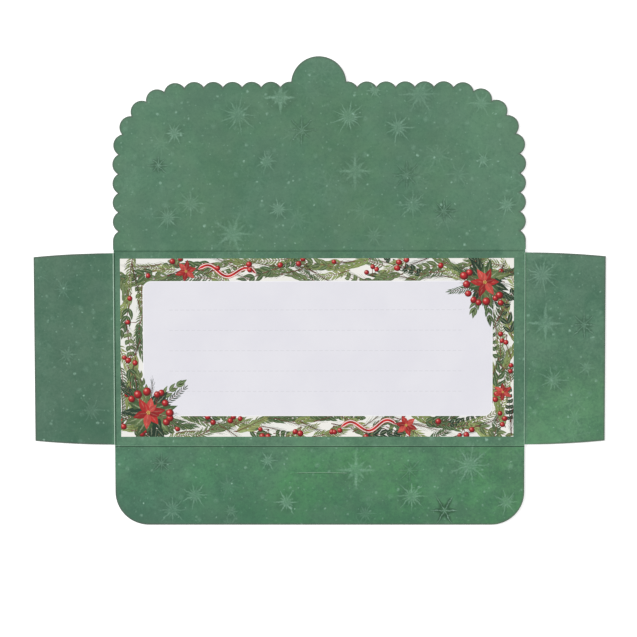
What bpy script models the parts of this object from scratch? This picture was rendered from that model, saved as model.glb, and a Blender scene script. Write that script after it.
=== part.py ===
"""Money envelope, laid open flat with its inside face up.

The envelope is one die-cut and creased sheet of card: a back panel, a closure flap with a scalloped
edge and a half-round tuck tab, a bottom flap with a slit that takes the tab, and two side flaps.
Each area of the sheet is its own solid, and so is each crease, a pressed strip with a bead on the
inside face and a groove on the outside face.

Lengths are in metres. +X runs along the panel's width, +Y towards the closure flap, and +Z up out of
the inside face. The origin is the centre of the back panel's outside face.
"""

import math

import bmesh
import bpy
from mathutils import Vector

# Card
CARD_THICKNESS = 0.00035
FOLD_AIR = 0.0001

# Back panel, measured between the middles of the creases
PANEL_WIDTH = 0.170
PANEL_HEIGHT = 0.081

# Creases
CREASE_WIDTH = 0.0010
CREASE_SEAT_GAP = 0.0002
CREASE_BEAD = 0.0001
CREASE_GROOVE = 0.00012

# Side flaps
SIDE_REACH = 0.0332
SIDE_MARGIN = 0.0007
SIDE_DROP = 0.0016

# Bottom flap and its slit, whose setback is measured from the bottom crease
BOTTOM_REACH = 0.0328
BOTTOM_CORNER_RADIUS = 0.0137
SLIT_SETBACK = 0.0111
SLIT_BOW = 0.0003
SLIT_WIDTH = 0.0003
SLIT_SIDE_CLEARANCE = 0.0005
SLIT_LEAD = 0.00025

# Closure flap: the corner radius is that of a line touching the scallops' crests
FLAP_OVERHANG = 0.00025
FLAP_CORNER_RADIUS = 0.0308
SCALLOP_PITCH = 0.00793
SCALLOP_DEPTH = 0.00225
SCALLOP_FOOT = 0.00426
TAB_RADIUS = 0.0114
TAB_TIP_CLEARANCE = 0.0010

# Points along the curved edges
SCALLOP_SEGMENTS = 12
TAB_SEGMENTS = 32
CORNER_SEGMENTS = 16
SIDE_SEGMENTS = 12
SLIT_SEGMENTS = 12
SLIT_END_SEGMENTS = 4
BEAD_SEGMENTS = 6
CROSSING_HALVINGS = 30

# Points closer than this share of the card's thickness are one point
WELD_SHARE = 0.001

# Colours are linear, and the surface is uncoated printed card
CARD_GREEN = (0.105, 0.209, 0.134, 1.0)
CREASE_GREEN = (0.135, 0.250, 0.165, 1.0)
CARD_ROUGHNESS = 0.72
CREASE_ROUGHNESS = 0.65

# Worked out from the sizes above: the flap closes up to the slit, and its tab goes past it
FLAP_HALF_WIDTH = PANEL_WIDTH / 2 + FLAP_OVERHANG
FLAP_REACH = PANEL_HEIGHT - SLIT_SETBACK - SLIT_LEAD
TAB_REACH = PANEL_HEIGHT - TAB_TIP_CLEARANCE
SCALLOP_RADIUS = (SCALLOP_PITCH ** 2 / 4 + SCALLOP_DEPTH ** 2) / (2 * SCALLOP_DEPTH)
CREASE_REACH = CREASE_WIDTH / 2 + CREASE_SEAT_GAP

# Fold axes lie just above the inside face, each half a layer higher than the one that folds before it
FOLD_LAYER = CARD_THICKNESS + FOLD_AIR
SIDE_AXIS_Z = CARD_THICKNESS + FOLD_AIR / 2
BOTTOM_AXIS_Z = SIDE_AXIS_Z + FOLD_LAYER / 2
CLOSURE_AXIS_Z = BOTTOM_AXIS_Z + FOLD_LAYER / 2


def clear_scene():
    """Remove every object that the file holds."""
    for old in list(bpy.data.objects):
        bpy.data.objects.remove(old, do_unlink=True)


def make_collection(name):
    """Make the collection that the envelope's objects go in."""
    collection = bpy.data.collections.new(name)
    bpy.context.scene.collection.children.link(collection)
    return collection


def card_material(name, colour, roughness):
    """Make a plain card finish."""
    material = bpy.data.materials.new(name)
    material.use_nodes = True
    shader = material.node_tree.nodes["Principled BSDF"]
    shader.inputs["Base Color"].default_value = colour
    shader.inputs["Roughness"].default_value = roughness
    shader.inputs["Metallic"].default_value = 0.0
    material.diffuse_color = colour
    return material


def arc(centre, radius, start, end, segments):
    """Points along an arc about centre, from one angle to the other, both included."""
    points = []
    for step in range(segments + 1):
        angle = start + (end - start) * step / segments
        points.append(Vector(centre) + radius * Vector((math.cos(angle), math.sin(angle))))
    return points


def arc_over_chord(half_chord, rise, segments):
    """Points from (-half_chord, 0) over (0, rise) to (half_chord, 0)."""
    radius = (half_chord ** 2 + rise ** 2) / (2 * rise)
    half_angle = math.asin(half_chord / radius)
    middle = math.pi / 2
    return arc((0, rise - radius), radius, middle + half_angle, middle - half_angle, segments)


def mirrored(points):
    """The same points on the other side of the centre line, in the opposite order."""
    return [Vector((-point.x, point.y)) for point in reversed(points)]


def heading(point, centre):
    """Angle of the line from centre to point."""
    offset = point - centre
    return math.atan2(offset.y, offset.x)


def outline_plate(name, outlines, depth):
    """Fill closed outlines, the first of them outermost, and give the plate its depth, as a mesh."""
    curve = bpy.data.curves.new(name + "_outline", "CURVE")
    curve.dimensions = "2D"
    curve.fill_mode = "BOTH"
    curve.extrude = depth / 2
    for points in outlines:
        spline = curve.splines.new("POLY")
        spline.points.add(len(points) - 1)
        spline.use_cyclic_u = True
        for spline_point, point in zip(spline.points, points):
            spline_point.co = (point.x, point.y, 0, 1)
    guide = bpy.data.objects.new(name + "_outline", curve)
    bpy.context.scene.collection.objects.link(guide)
    evaluated = guide.evaluated_get(bpy.context.evaluated_depsgraph_get())
    mesh = bpy.data.meshes.new_from_object(evaluated)
    mesh.name = name
    bpy.data.objects.remove(guide, do_unlink=True)
    shape = bmesh.new()
    shape.from_mesh(mesh)
    bmesh.ops.remove_doubles(shape, verts=shape.verts, dist=CARD_THICKNESS * WELD_SHARE)
    bmesh.ops.recalc_face_normals(shape, faces=shape.faces)
    shape.to_mesh(mesh)
    shape.free()
    return mesh


def add_card(name, outlines, fold_line, collection, material, parent=None):
    """Add one flat area of the sheet, with its origin on its fold axis and its outside face at z = 0."""
    mesh = outline_plate(name, outlines, CARD_THICKNESS)
    middle_z = CARD_THICKNESS / 2 - fold_line[2]
    for vertex in mesh.vertices:
        vertex.co.z += middle_z
    mesh.materials.append(material)
    card = bpy.data.objects.new(name, mesh)
    card.location = fold_line
    card.parent = parent
    collection.objects.link(card)
    return card


def back_panel_outline():
    """The middle of the sheet, up to the seats of the four creases."""
    half_width = PANEL_WIDTH / 2 - CREASE_REACH
    half_height = PANEL_HEIGHT / 2 - CREASE_REACH
    return [
        Vector((-half_width, -half_height)),
        Vector((half_width, -half_height)),
        Vector((half_width, half_height)),
        Vector((-half_width, half_height)),
    ]


def side_flap_outline(side):
    """A side flap from its crease outwards, for side 1 (right) or -1 (left).

    Its top and bottom edges leave the crease square and curve in towards the outer edge.
    """
    half_height = PANEL_HEIGHT / 2 - SIDE_MARGIN
    radius = (SIDE_REACH ** 2 + SIDE_DROP ** 2) / (2 * SIDE_DROP)
    middle = math.pi / 2
    near = middle - math.asin(CREASE_REACH / radius)
    far = middle - math.asin(SIDE_REACH / radius)
    upper = arc((0, half_height - radius), radius, near, far, SIDE_SEGMENTS)
    lower = [Vector((point.x, -point.y)) for point in reversed(upper)]
    return [Vector((side * point.x, point.y)) for point in upper + lower]


def bottom_flap_outline():
    """The bottom flap from its crease down to its free edge, with two rounded corners."""
    half_width = PANEL_WIDTH / 2
    centre = (half_width - BOTTOM_CORNER_RADIUS, BOTTOM_CORNER_RADIUS - BOTTOM_REACH)
    right = [Vector((half_width, -CREASE_REACH))]
    right += arc(centre, BOTTOM_CORNER_RADIUS, 0, -math.pi / 2, CORNER_SEGMENTS)
    return right + mirrored(right)


def slit_outline():
    """The slit, a little wider than the tab, whose ends bend slightly towards the flap's free edge."""
    half_span = TAB_RADIUS + SLIT_SIDE_CLEARANCE
    radius = (half_span ** 2 + SLIT_BOW ** 2) / (2 * SLIT_BOW)
    centre = Vector((0, -SLIT_SETBACK - radius))
    lean = math.asin(half_span / radius)
    left = math.pi / 2 + lean
    right = math.pi / 2 - lean
    half_cut = SLIT_WIDTH / 2
    right_end = centre + radius * Vector((math.cos(right), math.sin(right)))
    left_end = centre + radius * Vector((math.cos(left), math.sin(left)))
    upper = arc(centre, radius + half_cut, left, right, SLIT_SEGMENTS)
    right_cap = arc(right_end, half_cut, right, right - math.pi, SLIT_END_SEGMENTS)
    lower = arc(centre, radius - half_cut, right, left, SLIT_SEGMENTS)
    left_cap = arc(left_end, half_cut, left - math.pi, left - 2 * math.pi, SLIT_END_SEGMENTS)
    return upper[:-1] + right_cap[:-1] + lower[:-1] + left_cap[:-1]


def scallop_centres():
    """Centres of the right half's scallops, from the one above the crease to the centre line.

    They lie on a path inset from the crests by the scallops' radius: up the side, round the corner and
    along the top. The last pair straddles the centre line, half a pitch to each side of it.
    """
    inset_x = FLAP_HALF_WIDTH - SCALLOP_RADIUS
    inset_y = FLAP_REACH - SCALLOP_RADIUS
    corner = FLAP_CORNER_RADIUS - SCALLOP_RADIUS
    side_run = inset_y - corner - SCALLOP_FOOT
    corner_run = corner * math.pi / 2
    top_run = inset_x - corner
    run = side_run + corner_run + top_run
    count = round(run / SCALLOP_PITCH + 0.5)
    pitch = run / (count - 0.5)
    corner_centre = Vector((inset_x - corner, inset_y - corner))
    centres = []
    for index in range(count):
        travel = index * pitch
        if travel < side_run:
            centres.append(Vector((inset_x, SCALLOP_FOOT + travel)))
        elif travel < side_run + corner_run:
            turn = (travel - side_run) / corner
            centres.append(corner_centre + corner * Vector((math.cos(turn), math.sin(turn))))
        else:
            centres.append(Vector((run - travel, inset_y)))
    return centres


def outer_valley(first, second):
    """The outer of the two points where neighbouring scallops cross, going from first to second."""
    chord = second - first
    outwards = Vector((chord.y, -chord.x)).normalized()
    rise = math.sqrt(SCALLOP_RADIUS ** 2 - chord.length_squared / 4)
    return (first + second) / 2 + outwards * rise


def inside_tab(point):
    """Whether a point lies in the tab: a half disc, on straight sides down to the flap."""
    tab_centre_y = TAB_REACH - TAB_RADIUS
    if point.y < tab_centre_y:
        return abs(point.x) < TAB_RADIUS
    return math.hypot(point.x, point.y - tab_centre_y) < TAB_RADIUS


def scallop_angle_at_tab(centre, start, end):
    """Angle at which a scallop's edge runs into the tab, found by halving the arc."""
    for _ in range(CROSSING_HALVINGS):
        middle = (start + end) / 2
        if inside_tab(centre + SCALLOP_RADIUS * Vector((math.cos(middle), math.sin(middle)))):
            end = middle
        else:
            start = middle
    return start


def tab_outline(start):
    """The right half of the tab's edge, from the point where it leaves the scallops to its tip."""
    centre = Vector((0, TAB_REACH - TAB_RADIUS))
    points = []
    if start.y < centre.y:
        points.append(Vector((TAB_RADIUS, centre.y)))
    from_angle = max(heading(start, centre), 0)
    rounded = arc(centre, TAB_RADIUS, from_angle, math.pi / 2, TAB_SEGMENTS // 2)
    return points + rounded[1:]


def closure_flap_outline():
    """The closure flap: straight from the crease, then scallop after scallop, and the tab on top."""
    centres = scallop_centres()
    right = [Vector((FLAP_HALF_WIDTH, CREASE_REACH))]
    start = 0
    for index, centre in enumerate(centres):
        if index + 1 < len(centres):
            following = centres[index + 1]
        else:
            following = Vector((-centre.x, centre.y))
        valley = outer_valley(centre, following)
        end = heading(valley, centre)
        if inside_tab(valley):
            end = scallop_angle_at_tab(centre, start, end)
        points = arc(centre, SCALLOP_RADIUS, start, end, SCALLOP_SEGMENTS)
        right += points if index == 0 else points[1:]
        if inside_tab(valley):
            break
        start = heading(valley, following)
    right += tab_outline(right[-1])
    return right + mirrored(right[:-1])


def crease_outline():
    """Cross-section of a crease: a groove in the outside face and a bead on the inside face."""
    half_width = CREASE_WIDTH / 2
    groove = arc_over_chord(half_width, CREASE_GROOVE, BEAD_SEGMENTS)
    bead = arc_over_chord(half_width, CREASE_BEAD, BEAD_SEGMENTS)
    raised = [Vector((point.x, point.y + CARD_THICKNESS)) for point in reversed(bead)]
    return groove + raised


def add_crease(name, length, place, turn, collection, material, parent):
    """Add a crease strip, whose length runs along +X before it is turned about +Z."""
    mesh = outline_plate(name, [crease_outline()], length)
    mesh.materials.append(material)
    crease = bpy.data.objects.new(name, mesh)
    crease.location = place
    crease.rotation_euler = (math.pi / 2, 0, math.pi / 2 + turn)
    crease.parent = parent
    collection.objects.link(crease)
    return crease


def build_flaps(panel, collection, material):
    """Add the four flaps, each with its origin on its fold axis."""
    half_width = PANEL_WIDTH / 2
    half_height = PANEL_HEIGHT / 2
    for side, name in ((-1, "left_side_flap"), (1, "right_side_flap")):
        fold_line = (side * half_width, 0, SIDE_AXIS_Z)
        add_card(name, [side_flap_outline(side)], fold_line, collection, material, panel)
    fold_line = (0, -half_height, BOTTOM_AXIS_Z)
    outlines = [bottom_flap_outline(), slit_outline()]
    add_card("bottom_flap", outlines, fold_line, collection, material, panel)
    fold_line = (0, half_height, CLOSURE_AXIS_Z)
    add_card("closure_flap", [closure_flap_outline()], fold_line, collection, material, panel)


def build_creases(panel, collection, material):
    """Add the four crease strips along the back panel's edges."""
    half_width = PANEL_WIDTH / 2
    half_height = PANEL_HEIGHT / 2
    for side, name in ((-1, "bottom_crease"), (1, "top_crease")):
        place = (0, side * half_height, 0)
        add_crease(name, PANEL_WIDTH, place, 0, collection, material, panel)
    side_length = PANEL_HEIGHT - 2 * SIDE_MARGIN
    for side, name in ((-1, "left_crease"), (1, "right_crease")):
        place = (side * half_width, 0, 0)
        add_crease(name, side_length, place, math.pi / 2, collection, material, panel)


def main():
    """Build the envelope."""
    clear_scene()
    collection = make_collection("money_envelope")
    card = card_material("green_card", CARD_GREEN, CARD_ROUGHNESS)
    pressed = card_material("pressed_crease", CREASE_GREEN, CREASE_ROUGHNESS)
    panel = add_card("back_panel", [back_panel_outline()], (0, 0, 0), collection, card)
    build_flaps(panel, collection, card)
    build_creases(panel, collection, pressed)


main()
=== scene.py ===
import math
import random

import bmesh
import bpy
from mathutils import Euler, Matrix, Vector


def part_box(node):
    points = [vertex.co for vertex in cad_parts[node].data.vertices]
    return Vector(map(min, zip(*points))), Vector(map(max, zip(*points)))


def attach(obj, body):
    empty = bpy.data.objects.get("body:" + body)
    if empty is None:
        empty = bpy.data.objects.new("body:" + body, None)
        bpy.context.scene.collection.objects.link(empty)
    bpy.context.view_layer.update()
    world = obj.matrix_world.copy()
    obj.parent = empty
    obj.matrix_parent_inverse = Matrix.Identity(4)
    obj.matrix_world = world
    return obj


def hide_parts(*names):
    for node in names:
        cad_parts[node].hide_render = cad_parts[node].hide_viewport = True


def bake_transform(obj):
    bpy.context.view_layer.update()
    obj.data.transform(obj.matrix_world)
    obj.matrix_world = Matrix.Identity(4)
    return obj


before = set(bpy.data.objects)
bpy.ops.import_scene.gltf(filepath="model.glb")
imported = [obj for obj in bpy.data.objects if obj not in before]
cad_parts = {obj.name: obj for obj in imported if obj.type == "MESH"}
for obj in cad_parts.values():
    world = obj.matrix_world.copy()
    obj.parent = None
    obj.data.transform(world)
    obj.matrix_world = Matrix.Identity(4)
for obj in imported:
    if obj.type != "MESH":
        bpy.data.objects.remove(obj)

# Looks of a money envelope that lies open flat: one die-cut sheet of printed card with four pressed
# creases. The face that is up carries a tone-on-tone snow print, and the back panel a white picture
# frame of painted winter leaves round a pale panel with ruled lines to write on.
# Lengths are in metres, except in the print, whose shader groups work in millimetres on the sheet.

MM = 0.001
TAU = 2 * math.pi
MIX_SOCKETS = {"VECTOR": (4, 5, 1), "RGBA": (6, 7, 2)}

# Camera, as it stood over the sheet
CAMERA_DISTANCE = 0.75
CAMERA_LENS = 102.4
CAMERA_TURN_DEGREES = (-3.06, 0.72, -0.12)
CAMERA_AIM = (-0.0003, 0.0126, 0.0)

# Studio
FLOOR_SIZE = 6.0
FLOOR_DROP = 0.0002
FLOOR_GREY = 0.80
FLOOR_LIFT = 0.5
FLOOR_ROUGHNESS = 0.9
WORLD_LEVEL = 0.6
KEY_LEVEL = 3.4
KEY_SOFTNESS_DEGREES = 18
KEY_PLACE = (-1.0, 0.40, 0.45)

# Card finish
WELD = 0.000002
FLAT_DEGREES = 1.0
EDGE_ROUND = 0.00014
EDGE_SEGMENTS = 2
BEAD_HEIGHT = 0.0001
BEAD_HALF_WIDTH = 0.00032
TROUGH_DEPTH = 0.00004
TROUGH_HALF_WIDTH = 0.00022
FOLD_STEPS = 32
# Half width of the painted shade beside a crease, and the band along the free edges that is greyer, with
# painted shade
SHADE_HALF_WIDTH = 0.00034
RIM_WIDTH = 0.0009
RIM_SHARE = 0.65
# Lips of the slit: the upper worn light with a painted highlight, the lower in painted shade, both fading
# towards the ends
LIP_WIDTH = 0.0003
LIP_WEAR_AND_HIGHLIGHT = 0.36
LIP_SHADE = 0.55
LIP_FADE = 0.0018
LIP_RISE = 0.00008
SLIT_PINCH = 0.08
SLIT_MIDDLE = -0.0516
SLIT_HALF_SPAN = 0.0119
SLIT_BOW = 0.0003
SLIT_RADIUS = (SLIT_HALF_SPAN ** 2 + SLIT_BOW ** 2) / (2 * SLIT_BOW)
SLIT_ROOM = 0.0005
FACE_UP = 0.8
CARD_ROUGHNESS = 0.62
CARD_GLOSS = 0.2
EDGE_ROUGHNESS = 0.85
SHARP_DEGREES = 50
TOOTH_DEPTH = 0.02 * MM
TOOTH_STRENGTH = 0.25
INSIDE, OUTSIDE, CUT = range(3)

# Creases: flap, crease, the flap's body, axis and side of the fold, then by strength and offset a line of
# worn ink with a painted highlight, and a line of painted shade
CREASES = (
    ("closure_flap", "top_crease", "closure", 1, 1, (0.0, 0.0), (0.5, 0.11 * MM)),
    ("bottom_flap", "bottom_crease", "bottom", 1, -1, (0.07, -0.35 * MM), (1.0, 0.10 * MM)),
    ("right_side_flap", "right_crease", "right_side", 0, 1, (0.28, 0.02 * MM), (0.25, 0.45 * MM)),
    ("left_side_flap", "left_crease", "left_side", 0, -1, (0.50, 0.16 * MM), (0.9, -0.40 * MM)),
)

# Picture frame on the back panel, measured from the middle of the sheet
PICTURE_LOW = Vector((-0.0824, -0.0365))
PICTURE_HIGH = Vector((0.0804, 0.0375))
WRITING_LOW = Vector((-0.0727, -0.0275))
WRITING_HIGH = Vector((0.0713, 0.0278))
WRITING_CORNER = 0.0032
CORNER_SEGMENTS = 8
BORDER_LOW = (PICTURE_LOW + WRITING_LOW) / 2
BORDER_HIGH = (PICTURE_HIGH + WRITING_HIGH) / 2

RULE_LOWEST = -0.0176
RULE_PITCH = 0.00845
RULE_COUNT = 5
RULE_HALF_WIDTH = 0.00012
RULE_REACH = (-0.0625, 0.0600)
DASH_PITCH = 0.0023
DASH_SHARE = 0.62

# Snow print in millimetres: the area that repeats, and larger motifs by centre, rays, radius, strength
PRINT_LOW = (-126.0, -84.0, -1.0)
PRINT_HIGH = (126.0, 128.0, 1.0)
PLACED_STRENGTH = 1.05
PLACED_MOTIFS = (
    (-15.8, 103.6, 4, 8.2, 0.44),
    (-33.2, 96.5, 9, 8.4, 0.32),
    (-59.6, 89.1, 6, 5.5, 0.42),
    (-66.2, 75.9, 8, 4.8, -0.60),
    (-7.1, 90.3, 8, 6.8, -0.46),
    (-21.6, 77.5, 7, 5.5, 0.34),
    (-53.0, 60.2, 8, 6.5, 0.28),
    (-62.5, 54.4, 8, 6.2, 0.38),
    (-35.6, 47.6, 5, 10.0, 0.34),
    (-16.7, 57.7, 7, 5.8, 0.38),
    (12.3, 95.7, 9, 8.2, 0.42),
    (23.0, 106.4, 6, 4.0, 0.36),
    (41.6, 104.8, 6, 9.0, 0.28),
    (32.5, 91.2, 7, 6.8, 0.40),
    (14.8, 73.4, 4, 8.6, 0.36),
    (36.2, 71.7, 8, 7.0, -0.42),
    (67.6, 77.9, 6, 3.8, 0.42),
    (77.2, 59.3, 7, 5.5, 0.42),
    (38.7, 59.5, 8, 7.4, 0.28),
    (51.5, 56.9, 8, 5.8, -0.64),
    (22.6, 46.9, 6, 5.5, 0.20),
    (66.8, 101.0, 6, 6.0, 0.26),
    (57.5, 72.0, 6, 6.0, 0.18),
    (-21.6, -46.5, 6, 4.6, 0.48),
    (15.2, -50.5, 4, 8.8, 0.46),
    (-65.8, -47.5, 8, 4.6, -0.56),
    (-51.8, -60.9, 7, 6.3, 0.40),
    (-13.8, -63.8, 6, 6.0, 0.50),
    (-61.3, -67.1, 8, 6.6, 0.32),
    (-36.9, -67.6, 6, 4.2, 0.24),
    (19.0, -68.6, 6, 5.0, 0.24),
    (37.5, -50.6, 8, 6.2, -0.36),
    (38.3, -61.3, 8, 7.2, 0.46),
    (51.9, -67.4, 6, 6.4, -0.95),
    (62.3, -48.5, 9, 9.2, 0.42),
    (77.6, -63.8, 7, 6.0, 0.38),
    (-104.7, -2.2, 5, 5.0, 0.24),
    (-106.0, 25.0, 6, 5.5, 0.18),
    (-94.8, -25.4, 6, 6.5, 0.18),
    (92.0, 30.5, 9, 8.4, 0.36),
    (93.5, 10.5, 4, 8.4, 0.40),
    (109.4, 9.8, 8, 6.0, -0.60),
    (96.6, -13.0, 7, 6.5, 0.36),
    (110.5, -8.0, 5, 4.5, 0.30),
    (105.7, -28.4, 6, 5.5, 0.20),
)

# Places of the print: how far they wobble, and what moves them for slow tones and on the outside face
PRINT_WOBBLE = (1.3, 1.3, 0.0)
HUE_SHIFT = (90.0, 40.0, 0.0)
DUSK_SHIFT = (40.0, 150.0, 0.0)
OUTSIDE_SHIFT = (430.0, 270.0, 0.0)

# Noises by scale, detail and roughness: the print's and the card's in millimetres, the others in metres
WOBBLE_NOISE = (0.5, 2.0, 0.5)
GRAIN_NOISE = (1.6, 2.0, 0.6)
FADE_NOISE = (0.22, 3.0, 0.6)
HUE_NOISE = (0.034, 3.0, 0.6)
DUSK_NOISE = (0.07, 3.0, 0.6)
MOTTLE_NOISE = (0.55, 3.0, 0.7)
CARD_NOISE = (4.0, 3.0, 0.65)
CUT_NOISE = (9000.0, 2.0, 0.6)
PAPER_NOISE = (45.0, 3.0, 0.55)
WASH_NOISE = (900.0, 2.0, 0.6)

# What the noises drive: where each effect is full and nil, its share, and what that gains lower down
GRAIN_EDGE = (0.62, 0.40)
GRAIN_RANGE = (0.45, 1.0)
FADE_EDGE = (0.62, 0.38)
FADE_RANGE = (0.65, 1.1)
HUE_EDGE = (0.36, 0.64)
HUE_SHARE = 0.38
DUSK_EDGE = (0.38, 0.62)
DUSK_SHARE = 0.18
MOTTLE_EDGE = (0.30, 0.50)
MOTTLE_SHARE = 0.22
MOTTLE_GAIN = 0.16
CLOUD_EDGE = (0.62, 0.38)
CLOUD_SHARE = 0.44
CLOUD_GAIN = 0.24
PAPER_EDGE = (0.65, 0.35)

# Tones by place in millimetres: round a light middle, towards the bottom, and from the creases
PRINT_MIDDLE = (-4.0, 54.0, 0.0)
MIDDLE_EDGE = (98.0, 23.0)
MIDDLE_SHARE = 0.52
BOTTOM_EDGE = (-66.0, -18.0)
CREASE_HEIGHT = 41.0

# Stars of the print. The finest and broadest rays are in millimetres and the rest are shares, of which
# a pair says where a part is full and where it is nil.
RAY_WIDTH = 0.66
FINEST_RAY = 0.6
BROADEST_RAY = 1.25
DARK_RAY_WIDENING = 3.0
RAY_SEED = 7.3
RAY_LOSS = 0.3
RAY_NARROWING = 1.15
RAY_SOFTNESS = 0.2
RAY_END = (0.6, 1.0)
CORE_EDGE = (0.08, 0.3)
CORE_SHARE = 0.6
LONG_RAY = 1.25
SHORT_RAY = 0.8
SHORT_RAY_SHARE = 0.65
HEART = (0.1, 0.35)
HEART_FADE = 0.55
DISC = (0.2, 0.6)
DISC_SHARE = 0.2
ARM_SHARE = 0.8
GAP_OUTSIDE = (0.5, 0.95)
GAP_INSIDE = (0.15, 0.4)
GAP_SHARE = 0.42
DARK_SHARE = 0.8
STAR_LOOSENESS = 0.55

# Placed motifs over a radius in millimetres are feathered with a flake
FEATHERED_FROM = 8.4
FEATHER_WIDTH = 0.6
FEATHER_SHARE = 0.45

# Flakes of the print, in the same shares as the stars, whose branches start in a zone of the ray
FLAKE_RAY_SOFTNESS = 0.3
FLAKE_RAY_END = 0.8
BRANCH_SLANT_DEGREES = 52
BRANCH_SPACING = 0.2
BRANCH_EDGE = (0.25, 0.9)
BRANCH_REACH = 0.42
BRANCH_TIP = 0.7
BRANCH_ZONE = (0.25, 0.95)
BRANCH_SHARE = 0.8

# Finer motifs that the print scatters: shape, cell, shift, radii, strengths and style
FINE_MOTIFS = (
    ("flake", 36.0, (7.0, 11.0, 0.0), (7.0, 11.0), (0.02, 0.11), {"Rays": 8.0, "Width": 0.55}),
    ("star", 27.0, (17.0, 5.0, 0.0), (4.5, 8.0), (0.03, 0.2), {"Rays": 7.0, "Width": 0.7, "Between": 0.65}),
)

# Dots that it scatters: cell, shift, radii and strength
DOTS = (
    (11.0, (8.0, 4.0, 0.0), (1.1, 1.8), 0.26),
    (9.0, (2.0, 1.0, 0.0), (0.46, 0.94), 0.90),
    (4.2, (5.0, 3.0, 0.0), (0.30, 0.58), 0.46),
)
DOT_SOFTNESS = 0.2

# Clouds of the print: the noises that they are the sum of, each with its share
CLOUDS = (((0.035, 3.0, 0.55), 0.40), ((0.16, 3.0, 0.6), 0.30), ((0.9, 3.0, 0.65), 0.30))

# Ink lies in thin films one over the other, thin enough for the folded flaps to clear them
GROUND_FILM = 0.000004
INK_STEP = 0.0000004
INK_FILM = 0.0000002
MARKS_IN_BATCH = 80
SHADES_IN_SPRIG = 4
LOWER_SPRIGS = 20
UPPER_SPRIGS = 13
FRUIT_STEPS = 5
BLOOM_STEPS = 9
WRITING_RIM_STEPS = 2
WRITING_STEPS = 8
BOUQUET_LEAVES = 18
BOUQUET_FRUIT_STEPS = 12
RIBBON_STEP = SHADES_IN_SPRIG * LOWER_SPRIGS + 1
LOWER_FRUIT_STEP = RIBBON_STEP + 1
LOWER_BLOOM_STEP = LOWER_FRUIT_STEP + FRUIT_STEPS
RIM_STEP = LOWER_BLOOM_STEP + BLOOM_STEPS
WRITING_STEP = RIM_STEP + WRITING_RIM_STEPS
WRITING_FILM = 0.0000018
WRITING_RIM = 0.0004
BOUQUET_STEP = WRITING_STEP + WRITING_STEPS
BOUQUET_LEAF_STEP = BOUQUET_STEP + SHADES_IN_SPRIG * UPPER_SPRIGS
BOUQUET_FRUIT_STEP = BOUQUET_LEAF_STEP + BOUQUET_LEAVES
BOUQUET_BLOOM_STEP = BOUQUET_FRUIT_STEP + BOUQUET_FRUIT_STEPS

# Sprigs of the painted frame: pairs of leaves, leaf length and width, degrees from the stem, steps
SPRIGS = {
    "willow": (8, 6.2 * MM, 1.55 * MM, 34, 5),
    "bay": (5, 6.2 * MM, 2.5 * MM, 44, 6),
    "round": (6, 3.2 * MM, 2.5 * MM, 60, 6),
    "fern": (15, 4.0 * MM, 0.85 * MM, 58, 3),
    "needle": (20, 5.0 * MM, 0.72 * MM, 36, 1),
}

# Painted marks. A pair is a range that chance draws from, and turns without a unit are in radians.
FINEST_MARK = 0.00002
STRAIGHT_BEND = 0.001
INK_VARIATION = 0.22

# Stems of sprigs, and stalks whose length is a share of the fruit's radius
STEM_WIDTH = 0.0004
STEM_STEPS = 6
STEM_TAPER = 0.7
STALK_LENGTHS = (2.4, 3.6)
STALK_BOW = 0.4
STALK_WIDTH = STEM_WIDTH * 0.8
STALK_STEPS = 3

# Leaves of a sprig, in shares of the sizes of their kind
LEAF_BELLY = 0.75
LEAF_FOOT = 0.12
LEAF_CURL = 0.5
LEAF_CLOSING = 0.25
LEAF_SHRINK = 0.5
LEAF_STRAY_DEGREES = 9
LEAF_LENGTHS = (0.85, 1.15)
LEAF_WIDTHS = (0.85, 1.1)
LEAF_RIB = 0.6
FIRST_LEAF = 0.6
FOOT_LEAF = 0.65
TIP_LEAF = 0.6

# Blooms, in shares of their radius: the number of petals and the size of each ring come first
PETAL_RINGS = ((6, 1.0), (5, 0.68))
PETAL_RING_TURN = 0.4
PETAL_STRAY = 0.12
PETAL_ROOT = 0.06
PETAL_LENGTHS = (0.88, 1.05)
PETAL_CURL = 0.25
PETAL_WIDTH = 0.5
PETAL_STEPS = 7
PETAL_LEVELS = 3
PETAL_VARIATION = 0.1
PETAL_RIB = 0.25
STAMENS_ROUND = 5
STAMEN_REACH = 0.09
STAMEN_SIZE = 0.06
STAMEN_SEGMENTS = 8

# Fruits, in shares of their radius
FRUIT_SPREAD = 0.75
FRUIT_STRAY = 0.15
FRUIT_SIZES = (0.85, 1.15)
FRUIT_STRETCH = (1.0, 1.12)
FRUIT_SEGMENTS = 14
FRUIT_VARIATION = 0.12

# Shading of a fruit: places in its mark, and where each effect is full and nil
BERRY_LIT = (0.38, 0.62, 0.0)
BERRY_LIT_EDGE = (0.16, 0.56)
BERRY_GLINT = (0.34, 0.66, 0.0)
BERRY_GLINT_EDGE = (0.05, 0.20)
BERRY_GLINT_SHARE = 0.8

# Brush work inside a mark: where each effect is full and nil, and its share
BRUSH_DEPTH = 0.62
WET_EDGE = (0.0, 0.16)
WET_SHARE = 0.35
SHADED_HALF_SHARE = 0.22
RIB_EDGE = (0.03, 0.12)
RIB_END = (0.7, 0.95)
WASH_EDGE = (0.7, 0.35)
WASH_SHARE = 0.4

# Border of the picture frame
BORDER_SEED = 411
SPRIG_SPACING = 0.0027
SPRIG_SWING_DEGREES = (4, 30)
SPRIG_LENGTHS_MM = (12, 19)
SPRIG_OFFSETS_MM = (0.6, 3.8)
SPRIG_BOW = 0.5
FRUIT_EVERY = 5
FRUIT_OFFSET_MM = 2.5
BORDER_FRUITS = (1, 2, 3)
BORDER_FRUIT_RADIUS = 1.1 * MM
RIBBON_WIDTH = 0.0019
RIBBON_SWING = 2.0 * MM
RIBBON_WAVES = 1.5
RIBBON_STEPS = 40
RIBBON_END = 0.25
RIBBON_FLARE = 14
RIBBON_FOLDS = 4
RIBBON_FOLD_EDGE = (-0.9, 0.9)
RIBBON_LINE = (0.24, 0.40)

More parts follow.
